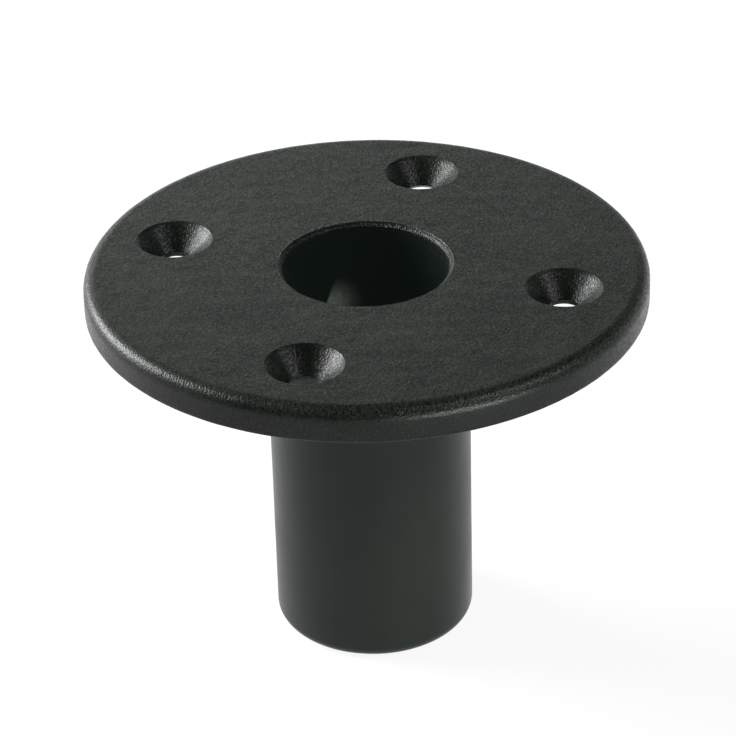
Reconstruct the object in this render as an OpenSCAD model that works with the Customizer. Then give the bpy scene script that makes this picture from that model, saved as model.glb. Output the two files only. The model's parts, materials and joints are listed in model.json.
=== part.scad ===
// Flush-mount pole socket: a countersunk round flange with a tube welded under it.
// The deck plane is z = 0: the flange's rim rests on it, the tube hangs below it.
// The pole's axis is the z axis, and it drops in from above.

/* [Pole and tube] */
// Diameter of the pole that drops into the socket
pole_d = 35; // [25:0.5:42]
// Clearance between pole and bore, each side
pole_gap = 0.25; // [0.1:0.05:0.5]
// Wall thickness of the tube
tube_wall = 4.5; // [3.5:0.1:6]
// Length of tube below the deck plane
tube_depth = 81.5; // [50:0.5:140]
// Rounding of the tube's lower outer edge, where the wall has room for it
tube_end_r = 2.8; // [0.5:0.1:3]

/* [Flange] */
// Diameter of the flange
flange_d = 122; // [110:1:160]
// Thickness of the flange at its rim
flange_t = 7.5; // [6:0.5:12]
// Rounding of the flange's upper edge
edge_r = 3; // [1:0.5:4]
// Rounding of the flange's lower edge
arris_r = 0.4; // [0.2:0.1:0.8]
// Chamfer of the bore's mouth
mouth_chamfer = 1.2; // [0.5:0.1:1.5]
// Depth of the relief turned into the underside
relief_depth = 1.4; // [0.5:0.1:1.5]
// Width of the land that the relief leaves at the rim
land_w = 6.5; // [4:0.5:7]
// Depth that the tube is let into the flange, above the relief
seat_depth = 2.6; // [1.5:0.1:3]
// Clearance around the tube in its seat, each side
seat_gap = 0.1; // [0.05:0.05:0.2]

/* [Screw holes] */
// Number of screw holes
hole_count = 4; // [3:1:6]
// Diameter of the circle the screw holes lie on
hole_circle_d = 87.5; // [73:0.5:98]
// Diameter of each screw hole
hole_d = 6.6; // [5:0.1:9]
// Diameter of each countersink at the top face
sink_d = 16.5; // [13:0.5:18]
// Included angle of the countersinks
sink_angle = 90; // [90:1:120]

/* [End stop] */
// Thickness of the disc the pole stands on
stop_t = 5; // [3:0.5:8]
// Distance from the tube's lower end up to the disc
stop_inset = 3; // [2.5:0.5:8]
// Width of the ledge in the tube that the disc is pushed up against
stop_ledge = 0.8; // [0.5:0.1:1.2]
// Clearance around the disc in the tube, each side
stop_gap = 0.1; // [0.05:0.05:0.2]
// Diameter of the drain hole in the disc
drain_d = 10; // [5:1:16]

/* [Welds] */
// Leg of the weld between tube and flange
flange_weld_leg = 4; // [2.5:0.5:5]
// Leg of the weld under the end stop
stop_weld_leg = 2; // [1:0.5:2.5]

/* [Hidden] */
$fn = 96;

bore_r = pole_d / 2 + pole_gap;
tube_r = bore_r + tube_wall;
flange_r = flange_d / 2;
hole_r = hole_d / 2;
sink_r = sink_d / 2;
relief_r = flange_r - land_w;
seat_top = relief_depth + seat_depth;
tube_length = tube_depth + seat_top;
recess_r = bore_r + stop_ledge;
stop_bottom = stop_inset - tube_depth;
// Least width of the flat ring that is left at the tube's lower end
end_land = 0.6;
end_round = min(tube_end_r, tube_wall - stop_ledge - end_land);
sink_depth = (sink_r - hole_r) / tan(sink_angle / 2);
// How far a cutting shape runs past the face it cuts
over = 1;

// What a rounded outer corner loses: it points along +x and +y from the round's centre
module corner_waste(r) {
    difference() {
        square(r + over);
        circle(r);
        translate([-over, r]) square([over, over]);
    }
}

// What a chamfered inner corner loses, from the corner towards +x and -y
module mouth_waste(c) {
    polygon([[-over, -c - over], [c + over, over], [-over, over]]);
}

// Section of a weld bead: a quarter round in the corner it fills, towards +x and -y
module bead_section(leg) {
    intersection() {
        circle(leg);
        translate([0, -leg]) square(leg);
    }
}

// Half section of the flange, x from the axis and y up from the deck plane
module flange_section() {
    difference() {
        translate([bore_r, 0]) square([flange_r - bore_r, flange_t]);
        translate([0, -over]) square([relief_r, relief_depth + over]);
        translate([0, -over]) square([tube_r + seat_gap, seat_top + over]);
        translate([flange_r - edge_r, flange_t - edge_r]) corner_waste(edge_r);
        translate([flange_r - arris_r, arris_r]) mirror([0, 1]) corner_waste(arris_r);
        translate([bore_r, flange_t]) mouth_waste(mouth_chamfer);
    }
}

// One countersunk hole on the z axis, from below the deck plane to above the top face
module screw_hole() {
    translate([0, 0, -over]) cylinder(h = flange_t + 2 * over, r = hole_r);
    translate([0, 0, flange_t - sink_depth]) cylinder(h = sink_depth, r1 = hole_r, r2 = sink_r);
    translate([0, 0, flange_t]) cylinder(h = over, r = sink_r);
}

// Round plate that rests on the deck and carries the screws
module flange() {
    color([0.20, 0.20, 0.20])
    difference() {
        rotate_extrude() flange_section();
        for (i = [0 : hole_count - 1])
            rotate([0, 0, i * 360 / hole_count])
                translate([hole_circle_d / 2, 0, 0]) screw_hole();
    }
}

// Tube that holds the pole, let into the flange from below
module socket_tube() {
    color([0.16, 0.16, 0.16])
    rotate_extrude()
        difference() {
            translate([bore_r, -tube_depth]) square([tube_wall, tube_length]);
            translate([0, -tube_depth - over]) square([recess_r, stop_inset + stop_t + over]);
            translate([tube_r - end_round, end_round - tube_depth])
                mirror([0, 1]) corner_waste(end_round);
        }
}

// Bead all round the tube, in the corner under the flange
module flange_weld() {
    color([0.30, 0.30, 0.31])
    rotate_extrude()
        translate([tube_r, relief_depth]) bead_section(flange_weld_leg);
}

// Disc in a recess in the tube's lower end that the pole stands on, with a drain hole
module end_stop() {
    color([0.24, 0.24, 0.25])
    translate([0, 0, stop_bottom])
        difference() {
            cylinder(h = stop_t, r = recess_r - stop_gap);
            translate([0, 0, -over]) cylinder(h = stop_t + 2 * over, r = drain_d / 2);
        }
}

// Bead that holds the end stop, in the corner under it
module stop_weld() {
    color([0.30, 0.30, 0.31])
    rotate_extrude()
        translate([recess_r, stop_bottom]) mirror([1, 0]) bead_section(stop_weld_leg);
}

flange();
socket_tube();
flange_weld();
end_stop();
stop_weld();
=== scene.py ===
# %% [markdown]
# # A black painted pole socket
#
# This object is a round steel flange with a short tube welded under it. It is let into a deck or a
# panel, and a pole drops into the tube from above. Everything is painted black in one go, yet it
# shows three different surfaces: a grainy top that was rough before it was painted, a smooth tube,
# and weld beads with ripples. A black object is a lesson in light, because nearly all that the eye
# gets from it is reflection: the shape has to have true edge roundings for the light to catch.
#
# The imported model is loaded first. It fixes where everything is, and it never moves.

# %% Open the frame
import json
import math

import bmesh
import bpy
import numpy as np
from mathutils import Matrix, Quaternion, Vector


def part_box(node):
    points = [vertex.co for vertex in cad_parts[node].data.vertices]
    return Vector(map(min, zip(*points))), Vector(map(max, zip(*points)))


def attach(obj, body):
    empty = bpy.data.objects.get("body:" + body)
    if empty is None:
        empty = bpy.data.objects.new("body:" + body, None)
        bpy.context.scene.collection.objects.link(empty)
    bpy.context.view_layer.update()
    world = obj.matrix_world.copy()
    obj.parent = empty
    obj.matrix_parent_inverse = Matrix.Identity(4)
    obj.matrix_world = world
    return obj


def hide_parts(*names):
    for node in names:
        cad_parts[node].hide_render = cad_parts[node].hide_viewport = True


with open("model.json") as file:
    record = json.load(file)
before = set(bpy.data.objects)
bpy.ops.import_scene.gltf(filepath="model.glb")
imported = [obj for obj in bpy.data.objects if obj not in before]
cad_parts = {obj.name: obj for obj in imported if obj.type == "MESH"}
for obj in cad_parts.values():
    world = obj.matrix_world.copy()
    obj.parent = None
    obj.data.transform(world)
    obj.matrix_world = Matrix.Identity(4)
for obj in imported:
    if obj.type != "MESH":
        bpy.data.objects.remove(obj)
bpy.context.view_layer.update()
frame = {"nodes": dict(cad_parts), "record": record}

print("pieces in the frame:", sorted(frame["nodes"]))

# %% [markdown]
# ## Sizes
#
# The frame already knows the bore, the screw holes and the outline of every piece, so those are
# read from it. Blender works in metres and a metalworker in millimetres, so MM turns one into the
# other. The small roundings and the relief's land can't be read from a box, so they are named here.

# %% Sizes from the frame
MM = 0.001
mounts = {mount["name"]: mount["dims"] for mount in frame["record"]["mounts"]}
bore_r = mounts["pole_bore"]["r_mm"] * MM
hole_ring_r = mounts["screw_holes"]["pcd_mm"] / 2 * MM
hole_r = mounts["screw_holes"]["hole_r_mm"] * MM
hole_count = mounts["screw_holes"]["count"]
flange_r, flange_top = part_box("flange")[1].x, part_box("flange")[1].z
tube_r, tube_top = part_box("socket_tube")[1].x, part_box("socket_tube")[1].z
tube_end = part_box("socket_tube")[0].z
relief_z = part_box("flange_weld")[1].z
flange_bead_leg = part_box("flange_weld")[1].x - tube_r
stop_r, stop_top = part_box("end_stop")[1].x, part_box("end_stop")[1].z
stop_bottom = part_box("end_stop")[0].z
recess_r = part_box("stop_weld")[1].x
stop_bead_leg = stop_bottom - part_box("stop_weld")[0].z
print(f"flange {2 * flange_r / MM:.1f} mm across, tube {2 * tube_r / MM:.1f} mm across")

# %% Sizes of the small features
edge_r = 3 * MM
arris_r = 0.4 * MM
mouth_chamfer = 1.2 * MM
land_w = 6.5 * MM
seat_gap = 0.1 * MM
sink_r = 8.25 * MM
sink_slope = math.tan(math.radians(45))
lip_r = 0.35 * MM
tube_end_r = 2.8 * MM
burr_r = 0.25 * MM
drain_r = 5 * MM

# %% [markdown]
# ## Surfaces from formulas
#
# Each piece could be modelled by hand, or with a Screw modifier. Here each surface is a grid of
# points that numpy works out at once from a formula: nearly all of them are a profile turned about
# an axis. That keeps every rounding exact, and a changed size changes everything that follows it.
# A profile is a chain of arcs and straight lines, written as (distance from the axis, height).

# %% Lines, arcs and turned profiles
def straight(start, end, count=1):
    """Points of a line: start + t (end - start), with t going evenly from 0 to 1."""
    t = np.linspace(0, 1, count + 1)[:, None]
    return np.asarray(start) + t * (np.asarray(end) - np.asarray(start))


def arc(centre, radius, first, last, count=6):
    """Points of an arc: centre + radius (cos a, sin a), with a going evenly from first to last degrees."""
    a = np.radians(np.linspace(first, last, count + 1))
    return np.asarray(centre) + radius * np.stack([np.cos(a), np.sin(a)], axis=1)


def chain(*stretches):
    """The stretches end to end, as one profile."""
    return np.concatenate(stretches)


def turned(profile, angles, centre=(0, 0)):
    """A profile point (r, z) turned by angle a is at (x0 + r cos a, y0 + r sin a, z)."""
    r, z = profile[:, :1], profile[:, 1:]
    x = centre[0] + r * np.cos(angles)
    y = centre[1] + r * np.sin(angles)
    return np.stack([x, y, z + 0 * x], axis=2)


full_turn = np.linspace(0, 2 * np.pi, 257)
print("a full turn has", len(full_turn) - 1, "steps")

# %% [markdown]
# A grid becomes quads by joining each point to its neighbours in the next row and column. Where two
# grids share an edge their points are the same, so merging doubles sews them into one closed skin.
# The normals are worked out again after that, and edges sharper than 40 degrees stay crisp.

# %% From grids to a closed piece
crisp_angle = math.radians(40)
weld_distance = 0.002 * MM


def grid_faces(rows, columns, first):
    """Corner numbers of each quad of a grid whose points are numbered row by row from first."""
    at = first + np.arange(rows * columns).reshape(rows, columns)
    return np.stack([at[:-1, :-1], at[:-1, 1:], at[1:, 1:], at[1:, :-1]], axis=2).reshape(-1, 4)


def sewn(name, grids):
    """One mesh object from several grids: doubles merged, normals outwards, shaded smooth."""
    faces, first = [], 0
    for grid in grids:
        faces.append(grid_faces(grid.shape[0], grid.shape[1], first))
        first += grid.shape[0] * grid.shape[1]
    points = np.concatenate([grid.reshape(-1, 3) for grid in grids])
    mesh = bpy.data.meshes.new(name)
    mesh.from_pydata(points.tolist(), [], np.concatenate(faces).tolist())
    skin = bmesh.new()
    skin.from_mesh(mesh)
    bmesh.ops.remove_doubles(skin, verts=skin.verts, dist=weld_distance)
    bmesh.ops.dissolve_degenerate(skin, edges=skin.edges, dist=weld_distance)
    bmesh.ops.recalc_face_normals(skin, faces=skin.faces)
    open_edges = sum(1 for edge in skin.edges if not edge.is_manifold)
    skin.to_mesh(mesh)
    skin.free()
    mesh.shade_smooth()
    piece = bpy.data.objects.new(name, mesh)
    bpy.context.scene.collection.objects.link(piece)
    triangles = sum(len(face.vertices) - 2 for face in mesh.polygons)
    print(f"{name}: {triangles} triangles, {open_edges} open edges")
    return piece


# %% [markdown]
# No painted surface is dead flat. After a piece is sewn, its points sink along their normals by a
# few hundredths of a millimetre, by a field that is the sum of cosine waves in random directions.
# It only ever sinks, so that the piece stays inside its own outline.

# %% Slightly uneven surfaces
wave_count = 24


def sink_unevenly(piece, depth, wave, seed):
    """Moves each point inwards by depth (1 + tanh s) / 2; s sums cosines of about that wave length."""
    random = np.random.default_rng(seed)
    directions = random.normal(size=(wave_count, 3))
    directions /= np.linalg.norm(directions, axis=1)[:, None]
    turns_per_metre = directions / (wave * random.uniform(0.7, 1.6, (wave_count, 1)))
    phases = random.uniform(0, 2 * np.pi, wave_count)
    mesh = piece.data
    points = np.zeros(len(mesh.vertices) * 3)
    normals = np.zeros(len(mesh.vertices) * 3)
    mesh.vertices.foreach_get("co", points)
    mesh.vertices.foreach_get("normal", normals)
    points, normals = points.reshape(-1, 3), normals.reshape(-1, 3)
    s = np.cos(2 * np.pi * points @ turns_per_metre.T + phases).sum(axis=1) / math.sqrt(wave_count / 2)
    points -= normals * (depth * (1 + np.tanh(s)) / 2)[:, None]
    mesh.vertices.foreach_set("co", points.ravel())
    mesh.update()
    mesh.set_sharp_from_angle(angle=crisp_angle)
    print(f"{piece.name}: sinks up to {depth / MM:.2f} mm")


# %% [markdown]
# ## Shader arithmetic
#
# A paint is a small network of shader nodes. Adding nodes one by one by hand hides the idea behind
# them, so sockets are wrapped in a class that does arithmetic: `1 - mask * 0.5` adds its own Math
# nodes. Every other node comes from one method, which takes its settings and its inputs.

# %% A socket that does arithmetic
class Value:
    """A node's output that takes part in Python expressions, each operator adding a Math node."""

    def __init__(self, shader, socket):
        self.shader = shader
        self.socket = socket

    def math(self, operation, first, second):
        return self.shader.node("Math", {"operation": operation}, {0: first, 1: second})

    def __add__(self, other):
        return self.math("ADD", self, other)

    __radd__ = __add__

    def __sub__(self, other):
        return self.math("SUBTRACT", self, other)

    def __rsub__(self, other):
        return self.math("SUBTRACT", other, self)

    def __mul__(self, other):
        return self.math("MULTIPLY", self, other)

    __rmul__ = __mul__


# %% The nodes of a material or a world
class Shader:
    """The nodes of a material or world: one method adds them, and textures read place."""

    def __init__(self, owner, place="Object"):
        self.owner = owner
        owner.use_nodes = True
        self.tree = owner.node_tree
        self.tree.nodes.clear()
        self.place = self.node("TexCoord", output=place)

    def node(self, kind, settings=None, inputs=None, output=0):
        """Adds a node, sets its settings, then the values or links of its sockets."""
        made = self.tree.nodes.new("ShaderNode" + kind)
        for name, setting in (settings or {}).items():
            setattr(made, name, setting)
        for name, value in (inputs or {}).items():
            if isinstance(value, Value):
                self.tree.links.new(value.socket, made.inputs[name])
            else:
                made.inputs[name].default_value = value
        return None if output is None else Value(self, made.outputs[output])

    def noise(self, size, detail=2.0, offset=0.0, stretch=(1, 1, 1), turn=0.0):
        """Soft random blobs about size metres across, from 0 to 1, pulled out along axes turned about z."""
        moved = {"Vector": self.place, "Location": (offset,) * 3, "Rotation": (0, 0, turn), "Scale": stretch}
        place = self.node("Mapping", {"vector_type": "TEXTURE"}, moved)
        return self.node("TexNoise", {}, {"Vector": place, "Scale": 1 / size, "Detail": detail})

    def axis_distance(self):
        """Distance from the z axis: the length of the place with its z set to nought."""
        flat_place = self.node("VectorMath", {"operation": "MULTIPLY"}, {0: self.place, 1: (1, 1, 0)})
        return self.node("VectorMath", {"operation": "LENGTH"}, {0: flat_place}, output="Value")

    def towards(self, direction):
        """How far the place lies along a direction: their dot product."""
        product = {"operation": "DOT_PRODUCT"}
        return self.node("VectorMath", product, {0: self.place, 1: direction}, output="Value")

    def distance(self, spot):
        """How far the place is from a spot: the length of their difference."""
        return self.node("VectorMath", {"operation": "DISTANCE"}, {0: self.place, 1: spot}, output="Value")

    def between(self, value, low, high, start=0.0, end=1.0):
        """Turns low..high into start..end with soft ends, and holds it there outside that range."""
        ranges = {"Value": value, "From Min": low, "From Max": high, "To Min": start, "To Max": end}
        return self.node("MapRange", {"interpolation_type": "SMOOTHSTEP"}, ranges)

    def mix(self, share, first, second):
        """The first colour, going over to the second as share goes from 0 to 1."""
        return self.node("Mix", {"data_type": "RGBA"}, {0: share, 6: first, 7: second}, output=2)

    def bump(self, height, distance, strength=1.0, under=None):
        """A normal that is tilted as if the surface rose by height times distance."""
        heights = {"Height": height, "Distance": distance, "Strength": strength}
        if under is not None:
            heights["Normal"] = under
        return self.node("Bump", {}, heights)

    def finish(self, settings):
        """The Principled surface with these sockets set, joined to the material's output."""
        surface = self.node("BsdfPrincipled", {}, settings)
        self.node("OutputMaterial", {}, {"Surface": surface}, output=None)
        return self.owner


# %% [markdown]
# ## The grainy paint of the flange
#
# The flange was rough before it was painted, and the paint follows it: lumps about half a
# millimetre across, pulled out slightly along one direction. The lumps are lighter and glossier than
# what lies between them, and here and there a speck is glossier still and lighter in colour, which
# is a painted glint. Below the top face the paint is coarser, as over a cutter's marks, and on the
# mouth of the bore coarser still; on the outer edge it is smoother. Inside the bore the colour is
# darker, a painted shade. The trace of glow there is no property of paint: it stands for stray light
# in the lens, and is left out where the plain paint is wanted. An image of real paint would have to
# be wrapped round every edge; noise in space covers them all.

# %% Paint of the flange
# The first colour below is a painted shade: inside the bore the paint is coloured darker than outside. The
# second is painted light, a faint glow in the bore.
bore_shade_tone = (0.004, 0.006, 0.005, 1)
stray_light = (0.0032, 0.0050, 0.0042, 1)
# The speck colour below is a painted glint: glossy specks are also given a light base colour.
painted_glint_tone = (0.30, 0.30, 0.29, 1)
darkest, lightest = 0.1, 2.9


def grain_paint(name, tone, lump, depth, rough, smooth_inside=0.0, smooth_outside=1.0):
    """Black paint over lumps about lump metres across and depth high, smoother at two radii."""
    shader = Shader(bpy.data.materials.new(name))
    pulled = {"stretch": (1.9, 1.0, 1.0), "turn": math.radians(88)}
    lumps = shader.noise(lump, detail=2.0, **pulled)
    pits = shader.noise(lump * 0.6, detail=1.0, offset=3.1, **pulled)
    clouds = shader.noise(9 * MM, detail=2.0, offset=7.7)
    radius = shader.axis_distance()
    # Near 1 outside the bore, near 0 inside it, where the colour goes over to a painted shade and a painted
    # glow.
    painted = shader.between(radius, smooth_inside, smooth_inside + 0.35 * MM)
    grainy = shader.between(radius, smooth_outside - 0.9 * MM, smooth_outside, 1.0, 0.4) * painted
    height = shader.towards((0, 0, 1))
    coarser = shader.between(height, flange_top - 0.6 * MM, flange_top - 0.1 * MM, 2.8, 1.0)
    mouth_edge = smooth_inside + mouth_chamfer
    ragged = shader.between(radius, mouth_edge, mouth_edge + 0.4 * MM, 2.2, 1.0)
    dark, light = [(*[c * share for c in tone], 1) for share in (darkest, lightest)]
    shade = shader.between(0.5 * lumps + 0.35 * pits + 0.15 * clouds, 0.36, 0.64)
    body = shader.mix(shade * grainy, dark, light)
    # Glossy specks: their lower roughness is real, their lighter colour is a painted glint.
    glint_speck = shader.between(pits, 0.72, 0.78) * grainy
    roughness = shader.between(lumps, 0.35, 0.65, rough + 0.08, rough - 0.08) - 0.10 * glint_speck
    return shader.finish({
        "Base Color": shader.mix(0.35 * glint_speck, shader.mix(painted, bore_shade_tone, body), painted_glint_tone),
        "Roughness": roughness,
        "Specular IOR Level": 0.2,
        "Emission Color": shader.mix(painted, stray_light, (0, 0, 0, 1)),
        "Emission Strength": 1.0,
        "Normal": shader.bump((lumps + 0.5 * pits) * grainy * coarser * ragged, depth),
    })


flange_tone = (0.0080, 0.0110, 0.0083)
flange_paint = grain_paint("grain_paint", flange_tone, 0.46 * MM, 0.05 * MM, 0.33, bore_r, flange_r)
print("made", flange_paint.name)

# %% [markdown]
# ## The smooth paint of the tube
#
# The tube is drawn steel, so its paint lies smooth. What keeps it from looking like plastic is a
# very shallow waviness along its length and a faint cloudiness in its gloss. Inside, the colour is
# darker, a painted shade, with a faint painted glow. On the far wall there is one pale place, a
# painted patch of light: a round patch that fades out, cut off on one side by a straight slanting
# edge, the painted edge of a shadow. It is a guess, as a reflection could look the same.

# %% Paint of the tube
# A painted patch of light on the bore's far wall, cut off by the painted edge of a shadow: its middle, its
# radius, the side and place of that edge, and its colour.
lit_patch_place = (-12.3 * MM, 12.8 * MM, -13.0 * MM)
lit_patch_r = 8.5 * MM
shadow_edge_side, shadow_edge_offset = (0.688, 0.725, -0.434), 3.9 * MM
lit_patch_tone = (0.44, 0.50, 0.42, 1)


def smooth_paint(name, tone, rough):
    """Black satin paint on drawn steel: shallow waves along z, a fine peel; in the bore a painted shade, a
    painted glow and a painted patch of light.
    """
    shader = Shader(bpy.data.materials.new(name))
    waves = shader.noise(5 * MM, detail=2.0, stretch=(1, 1, 3))
    peel = shader.noise(0.8 * MM, detail=2.0, offset=1.3)
    clouds = shader.noise(18 * MM, detail=3.0, offset=4.2)
    # Near 1 in the bore, where the colour goes over to a painted shade and a painted glow.
    inside = shader.between(shader.axis_distance(), bore_r + 0.2 * MM, bore_r + 0.6 * MM, 1.0, 0.0)
    # A painted patch of light, fading out from its middle and cut off by a painted shadow edge.
    past_shadow_edge = shader.between(shader.towards(shadow_edge_side), shadow_edge_offset, shadow_edge_offset + 1.0 * MM)
    lit_patch = shader.between(shader.distance(lit_patch_place), 0, lit_patch_r, 1.0, 0.0) * past_shadow_edge
    dark, light = [(*[c * share for c in tone], 1) for share in (0.85, 1.15)]
    body = shader.mix(shader.between(clouds, 0.3, 0.7), dark, light)
    # The painted shade of the bore, with the painted patch of light laid on it.
    bore_shade_and_lit_patch = shader.mix(lit_patch * (0.8 + 0.8 * (peel - 0.5)), bore_shade_tone, lit_patch_tone)
    under = shader.bump(waves, 0.03 * MM)
    return shader.finish({
        "Base Color": shader.mix(inside, body, bore_shade_and_lit_patch),
        "Roughness": shader.between(clouds, 0.3, 0.7, rough - 0.04, rough + 0.04) - 0.1 * inside,
        "Specular IOR Level": 0.2,
        "Emission Color": shader.mix(inside, (0, 0, 0, 1), stray_light),
        "Emission Strength": 1.0,
        "Normal": shader.bump(peel, 0.004 * MM, under=under),
    })


tube_paint = smooth_paint("smooth_paint", (0.0070, 0.0105, 0.0080), 0.34)
stop_paint = smooth_paint("satin_stop_paint", (0.0090, 0.0110, 0.0095), 0.45)
print("made", tube_paint.name, "and", stop_paint.name)

# %% [markdown]
# ## The paint on the weld beads
#
# The ripples of a bead are real shape, made below. The paint on it only needs the fine scale and
# spatter that a welder's wire brush leaves behind.

# %% Paint of the beads
bead_paint = grain_paint("bead_paint", (0.0095, 0.0120, 0.0100), 0.5 * MM, 0.06 * MM, 0.38)
print("made", bead_paint.name)

# %% [markdown]
# ## The flange
#
# The flange is a plate with a rounded upper edge, a relief turned into its underside, a bore with a
# chamfered mouth and four countersunk holes. Cutting the holes with a Boolean would leave long thin
# triangles, which shade badly on a glossy surface. Instead the flat faces are laid out around the
# holes: each hole owns one quarter of the plate, and its points run along spokes from the rim of
# the hole to the border of that quarter.

# %% Spokes of one quarter of the plate
arc_steps, side_steps = 84, 44


def quarter_border(inner_r, outer_r):
    """Outer arc, side line, inner arc and back along the other side, for the quarter about +X."""
    half = np.pi / hole_count
    across = np.linspace(-half, half, arc_steps + 1)
    outer = outer_r * np.stack([np.cos(across), np.sin(across)], axis=1)
    inner = inner_r * np.stack([np.cos(across), np.sin(across)], axis=1)
    inwards = straight(outer[-1], inner[-1], side_steps)
    outwards = straight(inner[0], outer[0], side_steps)
    return chain(outer[:-1], inwards[:-1], inner[::-1][:-1], outwards)


def quarter_plate(inner_r, outer_r, rim_r, height, rows, side):
    """Points h + s (b - h): b on the border, h where its spoke leaves the hole's rim, s eased 0 to 1."""
    border = quarter_border(inner_r, outer_r)
    middle = np.array([hole_ring_r, 0])
    spokes = border - middle
    rim = middle + rim_r * spokes / np.linalg.norm(spokes, axis=1)[:, None]
    s = (np.linspace(0, 1, rows + 1) ** 1.3)[:, None, None]
    flat = rim + s * (border - rim)
    angle = side * 2 * np.pi / hole_count
    x = flat[..., 0] * math.cos(angle) - flat[..., 1] * math.sin(angle)
    y = flat[..., 0] * math.sin(angle) + flat[..., 1] * math.cos(angle)
    return np.stack([x, y, height + 0 * x], axis=2)


def spoke_angles(inner_r, outer_r, side):
    """The directions of the spokes, seen from the middle of the hole."""
    spokes = quarter_border(inner_r, outer_r) - np.array([hole_ring_r, 0])
    return np.unwrap(np.arctan2(spokes[:, 1], spokes[:, 0])) + side * 2 * np.pi / hole_count


blunt = burr_r * math.tan(math.radians(22.5))
flat_inner, flat_outer = bore_r + mouth_chamfer + blunt, flange_r - edge_r
relief_r = flange_r - land_w
seat_r = tube_r + seat_gap
print(f"the flat top runs from {flat_inner / MM:.2f} to {flat_outer / MM:.2f} mm")

# %% [markdown]
# The spokes of the top and those of the relief leave a hole at different angles, because their
# borders differ. The wall of each hole therefore turns its profile by an angle that goes over from
# the one to the other on its way down. More or less of the floor shows through each hole, so each
# lower edge has a small chamfer of its own, as if the drill had broken out unevenly. Those four
# amounts are fitted.

# %% Walls of the countersunk holes
breakouts = [0.25 * MM, 0.95 * MM, 0.05 * MM, 0.25 * MM]


def hole_profile(breakout):
    """Rounded lip, cone, short straight bore and chamfered lower edge, from the top face to the relief."""
    cone_low = flange_top - (sink_r - hole_r) / sink_slope
    lip_reach = lip_r * math.tan(math.radians(22.5))
    lip_centre = (sink_r + lip_reach, flange_top - lip_r)
    throat_centre = (hole_r + lip_r, cone_low - lip_reach)
    lip = arc(lip_centre, lip_r, 90, 135, 4)
    throat = arc(throat_centre, lip_r, 135, 180, 3)
    return chain(
        lip[:-1],
        straight(lip[-1], throat[0], 10)[:-1],
        throat,
        straight((hole_r, throat_centre[1]), (hole_r, relief_z + breakout), 2)[1:-1],
        straight((hole_r, relief_z + breakout), (hole_r + breakout, relief_z), 8),
    )


top_rim_r = hole_profile(burr_r)[0, 0]


def hole_wall(side):
    """The profile turned by a + w (b - a): a of the top's spokes, b of the relief's, w the way down."""
    wall = hole_profile(breakouts[side])
    above = spoke_angles(flat_inner, flat_outer, side)
    below = spoke_angles(seat_r + burr_r, relief_r, side)
    down = np.linspace(0, 1, len(wall))[:, None]
    angle = side * 2 * np.pi / hole_count
    middle = hole_ring_r * math.cos(angle), hole_ring_r * math.sin(angle)
    return turned(wall, above + down * (below - above), middle)


print(f"each hole opens to {2 * top_rim_r / MM:.1f} mm at the top")

# %% [markdown]
# The outer edge and the bore are turned about the pole's axis. Their angles are those of the
# border's arcs, so that they meet the flat faces point to point.

# %% The flange, sewn together
def outer_profile():
    """Round upper edge, side, small lower arris, land and the step up into the relief."""
    edge = arc((flange_r - edge_r, flange_top - edge_r), edge_r, 90, 0, 14)
    arris = arc((flange_r - arris_r, arris_r), arris_r, 0, -90, 4)
    return chain(
        edge,
        straight((flange_r, flange_top - edge_r), (flange_r, arris_r), 6)[1:-1],
        arris,
        straight((flange_r - arris_r, 0), (relief_r + burr_r, 0), 4)[1:-1],
        arc((relief_r + burr_r, burr_r), burr_r, 270, 180, 3),
        straight((relief_r, burr_r), (relief_r, relief_z), 1)[1:],
    )


def inner_profile():
    """Chamfered mouth, bore, shelf that the tube's end meets, and the wall of its seat."""
    shelf = tube_top
    upper = arc((flat_inner, flange_top - burr_r), burr_r, 90, 135, 3)
    lower = arc((bore_r + burr_r, flange_top - mouth_chamfer - blunt), burr_r, 135, 180, 3)
    return chain(
        upper[:-1],
        straight(upper[-1], lower[0], 6)[:-1],
        lower,
        straight(lower[-1], (bore_r, shelf), 3)[1:],
        straight((bore_r, shelf), (seat_r, shelf), 2)[1:],
        straight((seat_r, shelf), (seat_r, relief_z + burr_r), 3)[1:-1],
        arc((seat_r + burr_r, relief_z + burr_r), burr_r, 180, 270, 3),
    )


border_turn = np.linspace(-np.pi / hole_count, 2 * np.pi - np.pi / hole_count, hole_count * arc_steps + 1)
grids = [turned(outer_profile(), border_turn), turned(inner_profile(), border_turn)]
for side in range(hole_count):
    grids.append(quarter_plate(flat_inner, flat_outer, top_rim_r, flange_top, 30, side))
    grids.append(quarter_plate(seat_r + burr_r, relief_r, hole_r + breakouts[side], relief_z, 10, side))
    grids.append(hole_wall(side))
painted_flange = sewn("painted_flange", grids)
sink_unevenly(painted_flange, 0.03 * MM, 4 * MM, 11)
painted_flange.data.materials.append(flange_paint)
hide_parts("flange")
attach(painted_flange, "root")

# %% [markdown]
# ## The tube
#
# The tube holds the pole. Its lower outer edge is well rounded, and inside it has a recess for the
# end stop, with a ledge that the stop is pushed up against. One closed profile, turned once, is all.

# %% The tube
def tube_profile():
    """Outer wall down, round lower edge, end, recess, ledge, bore wall and the top end."""
    ledge = stop_top
    return chain(
        arc((tube_r - burr_r, tube_top - burr_r), burr_r, 90, 0, 3),
        straight((tube_r, tube_top - burr_r), (tube_r, tube_end + tube_end_r), 40)[1:-1],
        arc((tube_r - tube_end_r, tube_end + tube_end_r), tube_end_r, 0, -90, 12),
        arc((recess_r + burr_r, tube_end + burr_r), burr_r, 270, 180, 3),
        straight((recess_r, tube_end + burr_r), (recess_r, ledge), 4)[1:],
        straight((recess_r, ledge), (bore_r, ledge), 1)[1:],
        straight((bore_r, ledge), (bore_r, tube_top), 40)[1:],
        straight((bore_r, tube_top), (tube_r - burr_r, tube_top), 1)[1:],
    )


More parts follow.
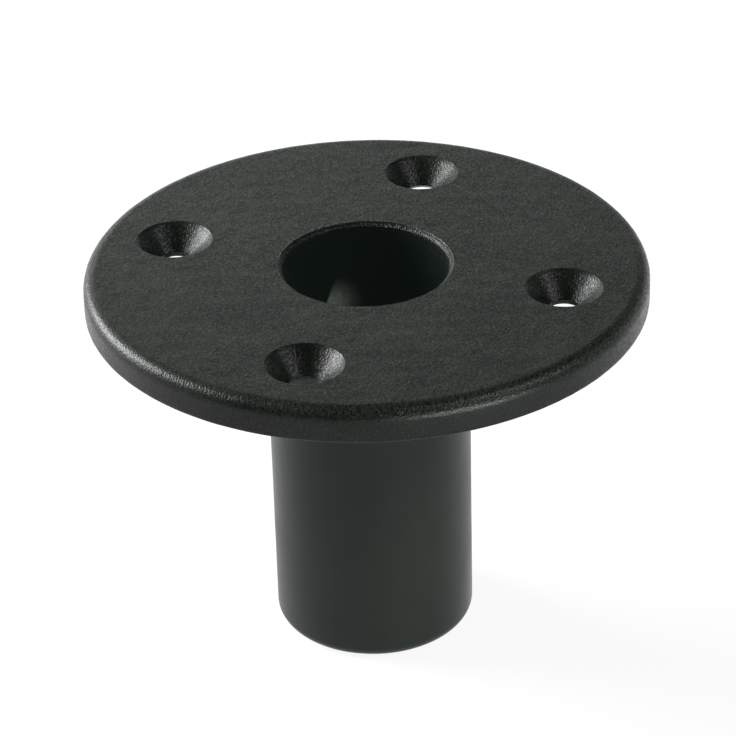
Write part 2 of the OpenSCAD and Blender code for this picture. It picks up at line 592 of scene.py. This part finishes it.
painted_tube = sewn("painted_tube", [turned(tube_profile(), full_turn)])
sink_unevenly(painted_tube, 0.02 * MM, 12 * MM, 12)
painted_tube.data.materials.append(tube_paint)
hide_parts("socket_tube")
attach(painted_tube, "root")

# %% [markdown]
# ## The weld beads
#
# A bead is laid as a row of overlapping puddles, each frozen as a crescent. Its section is a quarter
# round in the corner, and the radius of that quarter round swells and shrinks along the way. The
# phase of that ripple also depends on the height in the section, which bends it into crescents.

# %% A rippled bead
ripple_steps = 8


def bead(name, corner_r, corner_z, leg, outwards, upwards, pitch, seed):
    """Quarter round of radius leg (1 - d (1 - |sin(n a / 2 + bend)|)), carried round the axis."""
    count = round(2 * np.pi * corner_r / pitch)
    random = np.random.default_rng(seed)
    a = np.linspace(0, 2 * np.pi, count * ripple_steps + 1)[None, :]
    swing = np.linspace(0, np.pi / 2, 15)[:, None]
    wander = sum(np.sin(k * a + random.uniform(0, 6.28)) for k in (2, 3, 5)) / 3
    ripple = 1 - np.abs(np.sin(count * a / 2 + 0.9 * np.sin(2 * swing) + 0.8 * wander))
    radius = leg * (0.985 - 0.10 * ripple ** 2 - 0.04 * (1 + wander))
    r = corner_r + outwards * radius * np.sin(swing)
    z = corner_z + upwards * radius * np.cos(swing)
    round_side = np.stack([r * np.cos(a), r * np.sin(a), z], axis=2)
    corner = np.stack([corner_r * np.cos(a), corner_r * np.sin(a), corner_z + 0 * a], axis=2)
    return sewn(name, [np.concatenate([corner, round_side, corner])])


rippled_flange_bead = bead("rippled_flange_bead", tube_r, relief_z, flange_bead_leg, 1, -1, 1.9 * MM, 21)
rippled_stop_bead = bead("rippled_stop_bead", recess_r, stop_bottom, stop_bead_leg, -1, -1, 1.4 * MM, 22)
for piece, node in ((rippled_flange_bead, "flange_weld"), (rippled_stop_bead, "stop_weld")):
    piece.data.set_sharp_from_angle(angle=crisp_angle)
    piece.data.materials.append(bead_paint)
    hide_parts(node)
    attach(piece, "root")

# %% [markdown]
# ## The end stop
#
# The pole stands on this disc, and rain leaves through the hole in it. It is sawn from bar and
# faced, so its edges are broken with small chamfers.

# %% The end stop
chamfer = 0.5 * MM


def stop_profile():
    """Top face from the drain hole outwards, chamfer, rim, chamfer, underside and the hole's wall."""
    high, low = stop_top, stop_bottom
    return chain(
        straight((drain_r + chamfer, high), (stop_r - chamfer, high), 10),
        straight((stop_r, high - chamfer), (stop_r, low + chamfer), 3),
        straight((stop_r - chamfer, low), (drain_r + chamfer, low), 10),
        straight((drain_r, low + chamfer), (drain_r, high - chamfer), 3),
        [(drain_r + chamfer, high)],
    )


drained_stop = sewn("drained_stop", [turned(stop_profile(), full_turn)])
sink_unevenly(drained_stop, 0.03 * MM, 6 * MM, 13)
drained_stop.data.materials.append(stop_paint)
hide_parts("end_stop")
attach(drained_stop, "root")

# %% [markdown]
# ## Camera
#
# A long lens from a little above, a touch off level. It aims at a point on the pole's axis below
# the flange, which puts the socket in the upper middle of the picture.

# %% Camera
camera_azimuth, camera_elevation = 17.45, 30.86
camera_distance, camera_roll = 0.680, -1.61
aim = Vector((-0.0002, -0.0001, -0.0189))


def outward(azimuth, elevation):
    """Unit vector towards a place round the object: azimuth 0 is in front, on the -Y side, 90 on +X."""
    a, e = math.radians(azimuth), math.radians(elevation)
    return Vector((math.sin(a) * math.cos(e), -math.cos(a) * math.cos(e), math.sin(e)))


camera_data = bpy.data.cameras.new("camera")
camera_data.lens = 151.5
camera = bpy.data.objects.new("camera", camera_data)
camera.location = aim + outward(camera_azimuth, camera_elevation) * camera_distance
look = (aim - camera.location).to_track_quat("-Z", "Y")
camera.rotation_mode = "QUATERNION"
camera.rotation_quaternion = look @ Quaternion((0, 0, 1), math.radians(camera_roll))
bpy.context.scene.collection.objects.link(camera)
bpy.context.scene.camera = camera
print("camera at", [round(c, 4) for c in camera.location])

# %% [markdown]
# ## Floor
#
# A plain pale sheet that the tube's end stands on. It glows evenly, like the glass of a light table,
# so that it shows no shadow. It is part of the light too: a black tube seen from above mirrors the
# floor around it, brightest near its two sides, where it is seen at a slant.

# %% Floor
floor_half = 4.0
across = np.linspace(-floor_half, floor_half, 9)
floor_x, floor_y = np.meshgrid(across, across)
floor = sewn("floor", [np.stack([floor_x, floor_y, tube_end + 0 * floor_x], axis=2)])
floor_shader = Shader(bpy.data.materials.new("pale_floor"))
mottle = floor_shader.noise(0.4, detail=2.0)
pale, paler = (0.12, 0.12, 0.12, 1), (0.15, 0.15, 0.15, 1)
floor.data.materials.append(floor_shader.finish({
    "Base Color": floor_shader.mix(mottle, pale, paler),
    "Roughness": 0.9,
    "Specular IOR Level": 0.0,
    "Emission Color": (1, 1, 1, 1),
    "Emission Strength": 0.9,
}))

# %% [markdown]
# ## Light
#
# One strong soft box from the left and a little behind rakes across the flange: it draws the bright
# line on the rounded edge and fills the right side of every countersink. A weaker one from the
# right lifts the other side. A long strip in front on the right draws the thin lower line; it stands
# lower than the top face, which it would otherwise flood with glare when seen from behind.
# Directions are given from the camera.

# %% Lights
def soft_box(name, azimuth, elevation, distance, width, height, brightness):
    """A rectangular light facing the object; brightness is its radiance, so power is pi area times it."""
    data = bpy.data.lights.new(name, "AREA")
    data.shape = "RECTANGLE"
    data.size = width
    data.size_y = height
    data.energy = math.pi * width * height * brightness
    light = bpy.data.objects.new(name, data)
    towards = outward(camera_azimuth + azimuth, elevation)
    light.location = towards * distance
    light.rotation_mode = "QUATERNION"
    light.rotation_quaternion = (-towards).to_track_quat("-Z", "Y")
    light.visible_camera = False
    bpy.context.scene.collection.objects.link(light)
    print(f"{name}: {data.energy:.1f} W")


soft_box("key_light", azimuth=-113, elevation=23, distance=0.6, width=0.38, height=0.34, brightness=22)
soft_box("side_light", azimuth=68, elevation=45, distance=1.0, width=0.35, height=0.35, brightness=9)
soft_box("low_light", azimuth=36, elevation=-2.4, distance=0.9, width=0.60, height=0.07, brightness=50)

# %% [markdown]
# ## The room round it
#
# A satin top face is a dull mirror, so what stands round it matters as much as the lights. The room
# is bright near the horizon behind the object, and darkens upwards, towards the camera and to the
# right. The top face mirrors that sweep, which is why it darkens from its far left to its near right.

# %% World
studio = Shader(bpy.data.worlds.new("studio"), place="Generated")
up = studio.towards((0, 0, 1))
behind = studio.towards(-outward(camera_azimuth, 0))
right = studio.towards(outward(camera_azimuth + 90, 0))
sweep = studio.between(up - 0.35 * behind, -0.05, 0.42, 1.08, 0.05)
front = studio.between(behind, -0.7, 0.2, 0.15, 1.0)
fall_off = studio.between(right, -0.35, 0.35, 1.34, 0.48)
glow = sweep * front * fall_off
background = studio.node("Background", {}, {"Color": (1, 1, 1, 1), "Strength": glow})
studio.node("OutputWorld", {}, {"Surface": background}, output=None)
bpy.context.scene.world = studio.owner
bpy.context.scene.view_settings.view_transform = "Standard"
print("the room is lit by", studio.owner.name)
